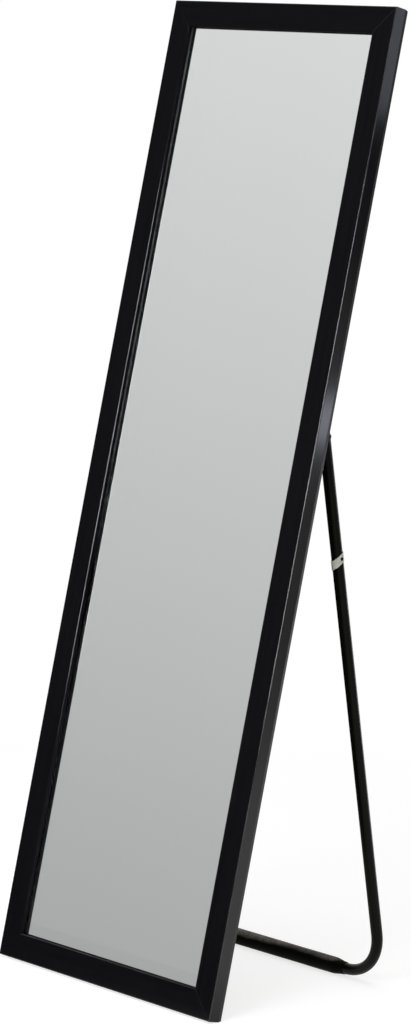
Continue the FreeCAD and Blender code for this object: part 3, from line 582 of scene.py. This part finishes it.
def round_head_bolt():
    """Bolt with its seat at height 0 and its shank up the axis: a domed head, the shank and a thread,
    whose radius is a triangle wave of the height less the turn round the axis."""
    top, dome = domed_head(BOLT_HEAD, BOLT_RISE)
    flat = np.ones((1, COLUMNS))
    length = GRIP + NUT_HEIGHT + BOLT_END
    rise = np.linspace(GRIP, length - THREAD_DEPTH, THREAD_STEPS)[:, None]
    turn = np.linspace(0, 1, COLUMNS, endpoint=False)
    wave = np.abs((rise / THREAD_PITCH - turn) % 1 - 0.5) * 2
    radius = np.concatenate((top[:, None] * flat, BOLT_RADIUS * flat, BOLT_RADIUS * flat,
                             BOLT_RADIUS - THREAD_DEPTH * wave, THREAD_ROOT * flat, THREAD_TIP * flat))
    height = np.concatenate((-dome[:, None] * flat, 0 * flat, GRIP * flat,
                             rise * flat, length * flat, length * flat))
    return turned_shape(radius, height, COLUMNS)


def flange_nut():
    """Lock nut with its flange at height 0: the flange's under side, its eased rim, the hexagon, whose
    radius is half the flats divided by the cosine of the angle from a flat's middle, and a chamfer that
    falls away by 30 degrees from a circle inside the flats."""
    angle = np.linspace(0, 2 * pi, COLUMNS, endpoint=False)
    hexagon = NUT_FLATS / 2 / np.cos((angle + pi / 6) % (pi / 3) - pi / 6)
    flat = np.ones(COLUMNS)
    chamfer = NUT_HEIGHT - (hexagon - NUT_FACE) * CHAMFER_SLOPE
    rim = (FLANGE_RADIUS - FLANGE_EASE) * flat
    edge = FLANGE_RADIUS * flat
    bore = BOLT_RADIUS * flat
    radius = (bore, rim, edge, edge, rim, np.minimum(hexagon, rim), hexagon, NUT_FACE * flat, bore)
    height = (0 * flat, 0 * flat, FLANGE_EASE * flat, (FLANGE - FLANGE_EASE) * flat, FLANGE * flat,
              FLANGE * flat, chamfer, NUT_HEIGHT * flat, NUT_HEIGHT * flat)
    return turned_shape(np.array(radius), np.array(height), COLUMNS)


def pivot_places(distance):
    """Seats on the pivot axis at both sides, with the third axis pointing inwards."""
    return [(PIVOT + side * distance * ACROSS, UPWARD, side * INWARD, -side * ACROSS) for side in (-1, 1)]


points, faces = row_of_copies(round_head_bolt(), pivot_places(LEG_X + TUBE_RADIUS + SIDE_CLEARANCE))
new_piece("round_head_bolts", points, faces, coat_black, "mirror", "pivot_bolts")
points, faces = row_of_copies(flange_nut(), pivot_places(LUG_X), ring=True)
new_piece("flange_nuts", points, faces, zinc, "mirror", "lock_nuts")
finish_node("pivot_washers", zinc)

# Leg tube
# One length of 19 mm steel tube, bent twice into a U and powder coated black. The bends are a little
# flattened, as a tube bender leaves them.
OPEN = radians(23.4)
SLOPE = OPEN - LEAN
LEG_BACK = np.array([0.0, cos(SLOPE), sin(SLOPE)])
LEG_UP = np.array([0.0, -sin(SLOPE), cos(SLOPE)])
SLEEVE_RADIUS = 0.01375
LEG_LENGTH = (PIVOT[2] - SLEEVE_RADIUS) / cos(SLOPE)
STOP_GAP = 0.0003
PLUG_BEVEL = 0.001
PLUG_CAP = 0.003
TUBE_WALL = 0.0012
HEEL_ROOM = PIVOT_OFFSET - PLATE - STOP_GAP - TUBE_RADIUS * cos(OPEN)
TUBE_TOP = PLUG_BEVEL + HEEL_ROOM / sin(OPEN) - PLUG_CAP
BEND_RADIUS = 0.080
FLATTENING = 0.035
BEND_STEPS = 33
RUN_STEPS = 12
TUBE_COLUMNS = 64


def leg_route():
    """The tube's middle line in its own plane, with its way out of the U and how far it has turned in a
    bend: down one leg, a quarter circle, along the bar, a quarter circle and up the other leg."""
    low = -LEG_LENGTH + BEND_RADIUS
    inner = LEG_X - BEND_RADIUS
    down = np.linspace(TUBE_TOP, low, RUN_STEPS)[:-1]
    bend = np.linspace(0, pi / 2, BEND_STEPS)
    bar = np.linspace(-inner, inner, RUN_STEPS)[1:-1]
    leg = np.stack((np.full(len(down), -LEG_X), down), axis=1)
    corner = np.stack((-inner - BEND_RADIUS * np.cos(bend), low - BEND_RADIUS * np.sin(bend)), axis=1)
    foot = np.stack((bar, np.full(len(bar), -LEG_LENGTH)), axis=1)
    other = (-1, 1)
    route = np.concatenate((leg, corner, foot, corner[::-1] * other, leg[::-1] * other))
    leg_out = np.tile((-1.0, 0.0), (len(down), 1))
    corner_out = np.stack((-np.cos(bend), -np.sin(bend)), axis=1)
    foot_out = np.tile((0.0, -1.0), (len(bar), 1))
    out = np.concatenate((leg_out, corner_out, foot_out, corner_out[::-1] * other, leg_out[::-1] * other))
    straight = np.zeros(len(down))
    turned = np.sin(2 * bend)
    bent = np.concatenate((straight, turned, np.zeros(len(bar)), turned, straight))
    return route, out, bent


def bent_tube():
    """Tube round the route: at each angle, its radius times the cosine along the way out of the U and
    times the sine square to the U's plane, the first a little less in the bends."""
    route, out, bent = leg_route()
    angle = np.linspace(0, 2 * pi, TUBE_COLUMNS, endpoint=False)
    in_plane = TUBE_RADIUS * (1 - FLATTENING * bent)[:, None] * np.cos(angle)
    square = np.broadcast_to(TUBE_RADIUS * np.sin(angle), in_plane.shape)
    sideways = route[:, :1] + out[:, :1] * in_plane
    upwards = route[:, 1:] + out[:, 1:] * in_plane
    return np.stack((sideways, square, upwards), axis=-1)


points, faces = row_of_copies(bent_tube(), [(PIVOT, ACROSS, LEG_BACK, LEG_UP)])
new_piece("bent_leg", points, faces, coat_black, "leg", "leg_tube")

# End plugs
# Black moulded plastic caps pushed into both ends of the tube. The edge below their bevel is the heel that
# stops the open leg on the bracket.
PLASTIC_DARK = (0.008, 0.008, 0.008)
PLASTIC_LIGHT = (0.014, 0.014, 0.013)
PLUG_STEM = 0.006
PLUG_MIDDLE = 0.0002
STEM_RADIUS = TUBE_RADIUS - TUBE_WALL
EDGE_EASE = 0.0002
plastic, tree, shader = new_finish("moulded_black_plastic", Specular_IOR_Level=0.45)
speckle, cloud = grain(tree, object_place(tree), stretch=(1, 1, 1), fine=1800, coarse=120)
two_tone(tree, shader, cloud, PLASTIC_DARK, PLASTIC_LIGHT)
tree.links.new(spread(tree, speckle, 0.45, 0.62), shader.inputs["Roughness"])
relief(tree, shader, speckle, distance=0.00012, strength=0.35)
plug_profile = np.array((
    (PLUG_MIDDLE, PLUG_CAP),
    (TUBE_RADIUS - PLUG_BEVEL - EDGE_EASE, PLUG_CAP),
    (TUBE_RADIUS - PLUG_BEVEL + EDGE_EASE, PLUG_CAP - EDGE_EASE),
    (TUBE_RADIUS - EDGE_EASE, PLUG_CAP - PLUG_BEVEL + EDGE_EASE),
    (TUBE_RADIUS, PLUG_CAP - PLUG_BEVEL - EDGE_EASE),
    (TUBE_RADIUS, EDGE_EASE),
    (TUBE_RADIUS - EDGE_EASE, 0),
    (STEM_RADIUS, 0),
    (STEM_RADIUS, -PLUG_STEM),
    (PLUG_MIDDLE, -PLUG_STEM),
))
plug = turned_shape(plug_profile[:, 0], plug_profile[:, 1], TUBE_COLUMNS)
tube_end = PIVOT + TUBE_TOP * LEG_UP
plug_places = [(tube_end + side * LEG_X * ACROSS, ACROSS, LEG_BACK, LEG_UP) for side in (-1, 1)]
points, faces = row_of_copies(plug, plug_places)
new_piece("heel_plugs", points, faces, plastic, "leg", "leg_end_plugs")

# Foot sleeve
# A length of thick black rubber hose pushed over the straight of the foot bar, so that the leg grips the
# floor. It is drawn thin towards its ends and its wall is a little uneven. Its upper side is painted grey
# for scuff marks and for a painted highlight of the light from above.
HOSE_DARK = (0.0024, 0.0024, 0.0010)
HOSE_LIGHT = (0.0046, 0.0046, 0.0022)
# Grey of the scuff marks on top, which also paints the highlight of the light from above
SHEEN_AND_SCUFF_GREY = (0.215, 0.208, 0.182)
SHEEN_AND_SCUFF_RAGGED = 0.18
SLEEVE_MARGIN = 0.0015
SLEEVE_HALF = LEG_X - BEND_RADIUS - SLEEVE_MARGIN
SLEEVE_TAPER = 0.026
SLEEVE_END = 0.01075
END_ROUND = 0.0008
END_STEPS = 8
UNEVEN = 0.00018
WAVES_ALONG = 57
WAVES_ROUND = 31
SLEEVE_STEPS = 121
rubber, tree, shader = new_finish("black_rubber_hose", Specular_IOR_Level=0.04)
place = object_place(tree)
speckle, cloud = grain(tree, place, stretch=(0.5, 1, 1), fine=1100, coarse=70)
scuff_and_sheen_noise, patches = grain(tree, place, stretch=(0.4, 1, 1), fine=260, coarse=40)
ragged = arithmetic(tree, "ADD", attribute(tree, "upper", "Fac"),
                    spread(tree, patches, -SHEEN_AND_SCUFF_RAGGED, SHEEN_AND_SCUFF_RAGGED))
upper = spread(tree, ragged, 0.0, 1.0, start=0.30, end=0.86)
uneven = spread(tree, arithmetic(tree, "ADD", scuff_and_sheen_noise, speckle), 0.35, 1.0, start=0.75, end=1.15)
black = blend_colours(tree, spread(tree, cloud, 0, 1), HOSE_DARK, HOSE_LIGHT)
# Grey on the upper side: scuff marks and a painted highlight
scuffed_and_sheen = blend_colours(tree, arithmetic(tree, "MULTIPLY", upper, uneven), black, SHEEN_AND_SCUFF_GREY)
tree.links.new(scuffed_and_sheen, shader.inputs["Base Color"])
matt = spread(tree, arithmetic(tree, "ADD", speckle, patches), 0.42, 0.62, start=0.7, end=1.3)
tree.links.new(matt, shader.inputs["Roughness"])
rough = arithmetic(tree, "ADD", speckle, arithmetic(tree, "MULTIPLY", scuff_and_sheen_noise, 0.6))
relief(tree, shader, rough, distance=0.0003, strength=0.5)


def hose():
    """Sleeve along its own axis: the radius less a slow wave along and round it, drawn in along the taper
    by a smooth step, and by a quarter circle at both ends."""
    end = END_ROUND * (1 - np.cos(np.linspace(0, pi / 2, END_STEPS)))
    run = np.concatenate((end, np.linspace(END_ROUND, SLEEVE_HALF, SLEEVE_STEPS)[1:]))
    along = np.concatenate((run - SLEEVE_HALF, (SLEEVE_HALF - run)[-2::-1]))
    from_end = SLEEVE_HALF - np.abs(along)
    drawn = (SLEEVE_RADIUS - SLEEVE_END) * (1 - ease(from_end, 0, SLEEVE_TAPER))
    corner = np.clip(1 - from_end / END_ROUND, 0, 1)
    rounding = END_ROUND * (1 - np.sqrt(1 - corner ** 2))
    turn = np.linspace(0, 2 * pi, TUBE_COLUMNS, endpoint=False)
    wave = np.sin(WAVES_ALONG * along)[:, None] + np.sin(WAVES_ROUND * along[:, None] + 2 * turn)
    radius = SLEEVE_RADIUS - (drawn + rounding)[:, None] - UNEVEN * (2 + wave) / 4
    bore = np.full((1, TUBE_COLUMNS), TUBE_RADIUS)
    height = np.concatenate((along[:1], along, along[-1:]))
    return turned_shape(np.concatenate((bore, radius, bore)), height, TUBE_COLUMNS)


sleeve = hose()
points, faces = row_of_copies(sleeve, [(PIVOT - LEG_LENGTH * LEG_UP, LEG_UP, LEG_BACK, ACROSS)], ring=True)
piece = new_piece("rubber_sleeve", points, faces, rubber, "leg", "foot_sleeve")

# The scuff marks and the painted highlight lie on top: the mark is the cosine of the turn from the top,
# less where they narrow to the right and where they stop at the ends
SHEEN_AND_SCUFFS_NARROW = (-0.06, 0.07)
NARROWER = 0.28
SHEEN_AND_SCUFFS_STOP = (SLEEVE_HALF - SLEEVE_TAPER, SLEEVE_HALF)
STOPPED = 0.5
turn = np.linspace(0, 2 * pi, TUBE_COLUMNS, endpoint=False)
along = sleeve[..., 2]
narrower = NARROWER * ease(along, *SHEEN_AND_SCUFFS_NARROW) + STOPPED * ease(np.abs(along), *SHEEN_AND_SCUFFS_STOP)
mark_points(piece, "upper", (np.cos(turn - SLOPE) - narrower).ravel())

# Clip band
# A pale strip of stiff plastic, wound off square round the right leg and drawn tight on the tube. The
# rivet that follows holds it on the outer side.
STRIP_DARK = (0.54, 0.545, 0.475)
STRIP_LIGHT = (0.76, 0.765, 0.68)
BAND_DROP = 0.205
BAND_WIDTH = 0.0125
BAND_THICKNESS = 0.001
BAND_TILT = radians(34)
BAND_TURN = radians(45)
BAND_ROUND = 0.0003
BAND_ROUND_STEPS = 4
BAND_COLUMNS = 96
strip, tree, shader = new_finish("pale_strip", Specular_IOR_Level=0.4)
speckle, cloud = grain(tree, object_place(tree), stretch=(1, 1, 1), fine=1500, coarse=160)
two_tone(tree, shader, cloud, STRIP_DARK, STRIP_LIGHT)
tree.links.new(spread(tree, speckle, 0.42, 0.62), shader.inputs["Roughness"])
relief(tree, shader, speckle, distance=0.0001, strength=0.3)


def wound_band():
    """Ring with the section of a strip: a rounded rectangle at each angle, as far up as the tilted plane
    of the band is there, r * tan(tilt) * sin(angle + turn), and as tall as the strip's width seen along
    the tube."""
    half = BAND_WIDTH / 2 / cos(BAND_TILT)
    outside = TUBE_RADIUS + BAND_THICKNESS
    corners = ((TUBE_RADIUS, -half), (TUBE_RADIUS, half), (outside, half), (outside, -half))
    section, _ = rounded_outline(corners, (BAND_ROUND,) * 4, BAND_ROUND_STEPS, BAND_ROUND / 3)
    turn = np.linspace(0, 2 * pi, BAND_COLUMNS, endpoint=False)
    radius = section[:, :1]
    rise = section[:, 1:] + radius * tan(BAND_TILT) * np.sin(turn + BAND_TURN)
    return turned_shape(radius, rise, BAND_COLUMNS)


band_seat = PIVOT + LEG_X * ACROSS - BAND_DROP * LEG_UP
points, faces = row_of_copies(wound_band(), [(band_seat, ACROSS, LEG_BACK, LEG_UP)], ring=True)
new_piece("wound_clip", points, faces, strip, "leg", "clip_band")

# Clip rivet
# A small domed steel rivet, black as the tube, set through the band and the tube's wall on the outer side
# of the leg.
RIVET_RADIUS = 0.0015
RIVET_HEAD = 0.003
RIVET_RISE = 0.0012
RIVET_ROUND = 0.98
RIVET_MIDDLE = 0.04
RIVET_STEPS = 14
RIVET_TIP = RIVET_RADIUS / 20
RIVET_COLUMNS = 40


def domed_rivet():
    """Turned rivet with its seat at height 0: a dome, whose height is the rise times the square root of
    1 - (r / R) ** 2 but for a low edge, then the shank through the band and the tube's wall."""
    share = np.linspace(RIVET_MIDDLE, 1, RIVET_STEPS)
    inner_end = -BAND_THICKNESS - TUBE_WALL
    radius = np.concatenate((share * RIVET_HEAD, [RIVET_RADIUS, RIVET_RADIUS, RIVET_TIP]))
    dome = RIVET_RISE * np.sqrt(1 - share ** 2 * RIVET_ROUND)
    height = np.concatenate((dome, [0, inner_end, inner_end]))
    return turned_shape(radius, height, RIVET_COLUMNS)


on_band = TUBE_RADIUS * tan(BAND_TILT) * sin(BAND_TURN)
rivet_seat = band_seat + (TUBE_RADIUS + BAND_THICKNESS) * ACROSS + on_band * LEG_UP
points, faces = row_of_copies(domed_rivet(), [(rivet_seat, LEG_UP, LEG_BACK, ACROSS)])
new_piece("domed_rivet", points, faces, coat_black, "leg", "clip_rivet")

# Studio floor
# A plain white sheet under the mirror, which keeps its shadow and goes over into the white background.
# What a gloss shows of it is darker farther off and towards the front left, and dark where the gloss shows
# it by way of the glass.
FLOOR_HALF = 20.0
FLOOR_COLOUR = (0.42, 0.42, 0.42, 1)
FLOOR_LIFT = 0.70
FLOOR_IN_GLASS = 0.45
ROOM_DARK = 0.04
SHADOW_NEAR = 0.9
SHADOW_FAR = 2.4
GLOSS_NEAR = 1.4
GLOSS_FAR = 3.8
GLOSS_BRIGHT = 0.85
GLOSS_DIM = 0.36
LIGHT_SIDE = (0.72, 0.69, 0.0)
LEFT_DARK = 0.05
LEFT_END = -0.5
RIGHT_START = 0.4
white_sheet, tree, shader = new_finish("white_sheet", Base_Color=FLOOR_COLOUR, Roughness=0.9,
                                       Specular_IOR_Level=0.0)
ray = tree.nodes.new("ShaderNodeLightPath").outputs
place = object_place(tree)
distance = add_node(tree, "ShaderNodeVectorMath", {0: place}, operation="LENGTH").outputs["Value"]


def towards(tree, direction, way):
    """How far a direction goes one way: the dot product of the two."""
    node = add_node(tree, "ShaderNodeVectorMath", {0: direction, 1: way}, operation="DOT_PRODUCT")
    return node.outputs["Value"]


def glow(tree, strength):
    """Emission of a strength."""
    return add_node(tree, "ShaderNodeEmission", {"Strength": strength}).outputs["Emission"]


def either(tree, share, first, second):
    """The first shader where the share is 0 and the second where it is 1."""
    return add_node(tree, "ShaderNodeMixShader", {0: share, 1: first, 2: second}).outputs[0]


lift = glow(tree, arithmetic(tree, "MULTIPLY", ray["Is Camera Ray"], FLOOR_LIFT))
lit = add_node(tree, "ShaderNodeAddShader", {0: shader.outputs["BSDF"], 1: lift}).outputs[0]
past_shadow = spread(tree, distance, 0, 1, start=SHADOW_NEAR, end=SHADOW_FAR)
far = arithmetic(tree, "MULTIPLY", ray["Is Camera Ray"], past_shadow)
seen = either(tree, far, lit, glow(tree, 1.0))
by_distance = spread(tree, distance, GLOSS_BRIGHT, GLOSS_DIM, start=GLOSS_NEAR, end=GLOSS_FAR)
by_side = spread(tree, towards(tree, place, LIGHT_SIDE), LEFT_DARK, 1.0, start=LEFT_END, end=RIGHT_START)
in_gloss = arithmetic(tree, "MULTIPLY", by_distance, by_side)
seen = either(tree, ray["Is Glossy Ray"], seen, glow(tree, in_gloss))
in_glass = spread(tree, ray["Glossy Depth"], FLOOR_IN_GLASS, ROOM_DARK, start=1.0, end=2.0)
seen = either(tree, ray["Is Transmission Ray"], seen, glow(tree, in_glass))
tree.links.new(seen, tree.nodes["Material Output"].inputs["Surface"])
sheet = bpy.data.meshes.new("studio_floor")
sheet_corners = np.array([(-1, -1, 0), (1, -1, 0), (1, 1, 0), (-1, 1, 0)]) * FLOOR_HALF
sheet.from_pydata(sheet_corners.tolist(), [], [(0, 1, 2, 3)])
sheet.materials.append(white_sheet)
floor = bpy.data.objects.new("studio_floor", sheet)
bpy.context.scene.collection.objects.link(floor)

# Studio surroundings
# A white background; for what a gloss shows, it is white behind the mirror and a dark room elsewhere, and
# for what the glass shows, a pale room that grows lighter upwards. What is lit through the glass gets the
# plain light of the room.
AMBIENT = 0.45
TO_BACKGROUND = (-0.72, 0.69, 0.0)
BACKGROUND_START = 0.35
BACKGROUND_FULL = 0.85
GLASS_LOW = 0.472
GLASS_HIGH = 1.0995
GLASS_TOP = 0.5
world = bpy.data.worlds.new("studio")
bpy.context.scene.world = world
world.use_nodes = True
tree = world.node_tree
ray = tree.nodes.new("ShaderNodeLightPath").outputs
direction = add_node(tree, "ShaderNodeTexCoord", {}).outputs["Generated"]
upward = add_node(tree, "ShaderNodeSeparateXYZ", {"Vector": direction}).outputs["Z"]
behind = towards(tree, direction, TO_BACKGROUND)
room = spread(tree, behind, ROOM_DARK, 1.0, start=BACKGROUND_START, end=BACKGROUND_FULL)
pale = spread(tree, upward, GLASS_LOW, GLASS_HIGH, start=0.0, end=GLASS_TOP)
in_glass = spread(tree, ray["Glossy Depth"], pale, ROOM_DARK, start=1.0, end=2.0)
in_glass = spread(tree, ray["Diffuse Depth"], in_glass, AMBIENT, start=0.0, end=1.0)
brightness = spread(tree, ray["Is Glossy Ray"], AMBIENT, room, start=0.0, end=1.0)
brightness = spread(tree, ray["Is Transmission Ray"], brightness, in_glass, start=0.0, end=1.0)
brightness = spread(tree, ray["Is Camera Ray"], brightness, 1.0, start=0.0, end=1.0)
tree.links.new(brightness, tree.nodes["Background"].inputs["Strength"])
tree.nodes["Background"].inputs["Color"].default_value = (1, 1, 1, 1)

# Studio lamps
# Two soft boxes light the mirror from the front right and from above. Four cards only show in its gloss:
# one in front for the arrises, a strip and a high card on the right for the side, and one behind for the
# rim of the leg.
WHITE = (1.0, 1.0, 1.0)
DAYLIGHT = (0.82, 0.85, 1.0)
# Each lamp: its place, the point that it faces, its width and height in metres, its power in watts, its
# colour, and whether it lights and shows in gloss
LAMPS = (
    ("front_soft_box", (1.05, -2.90, 1.60), (0.10, 0.0, 0.85), 1.0, 1.0, 45, WHITE, True, False),
    ("overhead_soft_box", (0.2, -0.5, 3.4), (0.0, 0.1, 0.6), 2.4, 2.4, 45, WHITE, True, True),
    ("front_card", (-0.20, -3.05, 1.45), (0.0, 0.0, 0.95), 1.2, 1.2, 130, WHITE, False, True),
    ("side_strip", (1.18, 0.88, 0.83), (0.25, 0.0, 0.93), 0.5, 0.09, 0.55, DAYLIGHT, False, True),
    ("side_high_card", (1.18, 0.88, 1.69), (0.25, 0.0, 1.59), 0.6, 0.54, 1.35, DAYLIGHT, False, True),
    ("leg_card", (0.26, 1.35, 0.40), (0.22, 0.10, 0.45), 0.34, 0.85, 3.6, WHITE, False, True),
)


def facing(place, target):
    """Turn that points an object's -Z from its place at the target, with +Y up."""
    back = np.array(place) - np.array(target)
    back = back / np.linalg.norm(back)
    side = np.cross((0, 0, 1), back)
    side = side / np.linalg.norm(side)
    return Matrix(np.stack((side, np.cross(back, side), back), axis=1).tolist()).to_4x4()


for name, place, target, width, height, power, colour, lights, shows in LAMPS:
    light = bpy.data.lights.new(name, "AREA")
    light.shape = "RECTANGLE"
    light.size = width
    light.size_y = height
    light.energy = power
    light.color = colour
    lamp = bpy.data.objects.new(name, light)
    lamp.matrix_world = Matrix.Translation(place) @ facing(place, target)
    lamp.visible_camera = False
    lamp.visible_diffuse = lights
    lamp.visible_glossy = shows
    lamp.visible_transmission = False
    bpy.context.scene.collection.objects.link(lamp)

# Camera
# The photograph's view: from the front right, a little above the middle, with the picture slightly
# turned.
CAMERA_PLACE = (4.0266, -3.9732, 1.3787)
CAMERA_AZIMUTH = radians(45.754)
CAMERA_PITCH = radians(6.249)
CAMERA_ROLL = radians(3.716)
CAMERA_LENS = 123.73
SENSOR = 36.0
view = bpy.data.cameras.new("photograph_view")
view.sensor_width = SENSOR
view.lens = CAMERA_LENS
camera = bpy.data.objects.new("photograph_view", view)
aim = Matrix.Rotation(CAMERA_AZIMUTH, 4, "Z") @ Matrix.Rotation(pi / 2 - CAMERA_PITCH, 4, "X")
camera.matrix_world = Matrix.Translation(CAMERA_PLACE) @ aim @ Matrix.Rotation(CAMERA_ROLL, 4, "Z")
bpy.context.scene.collection.objects.link(camera)
bpy.context.scene.camera = camera
bpy.context.scene.view_settings.view_transform = "Standard"
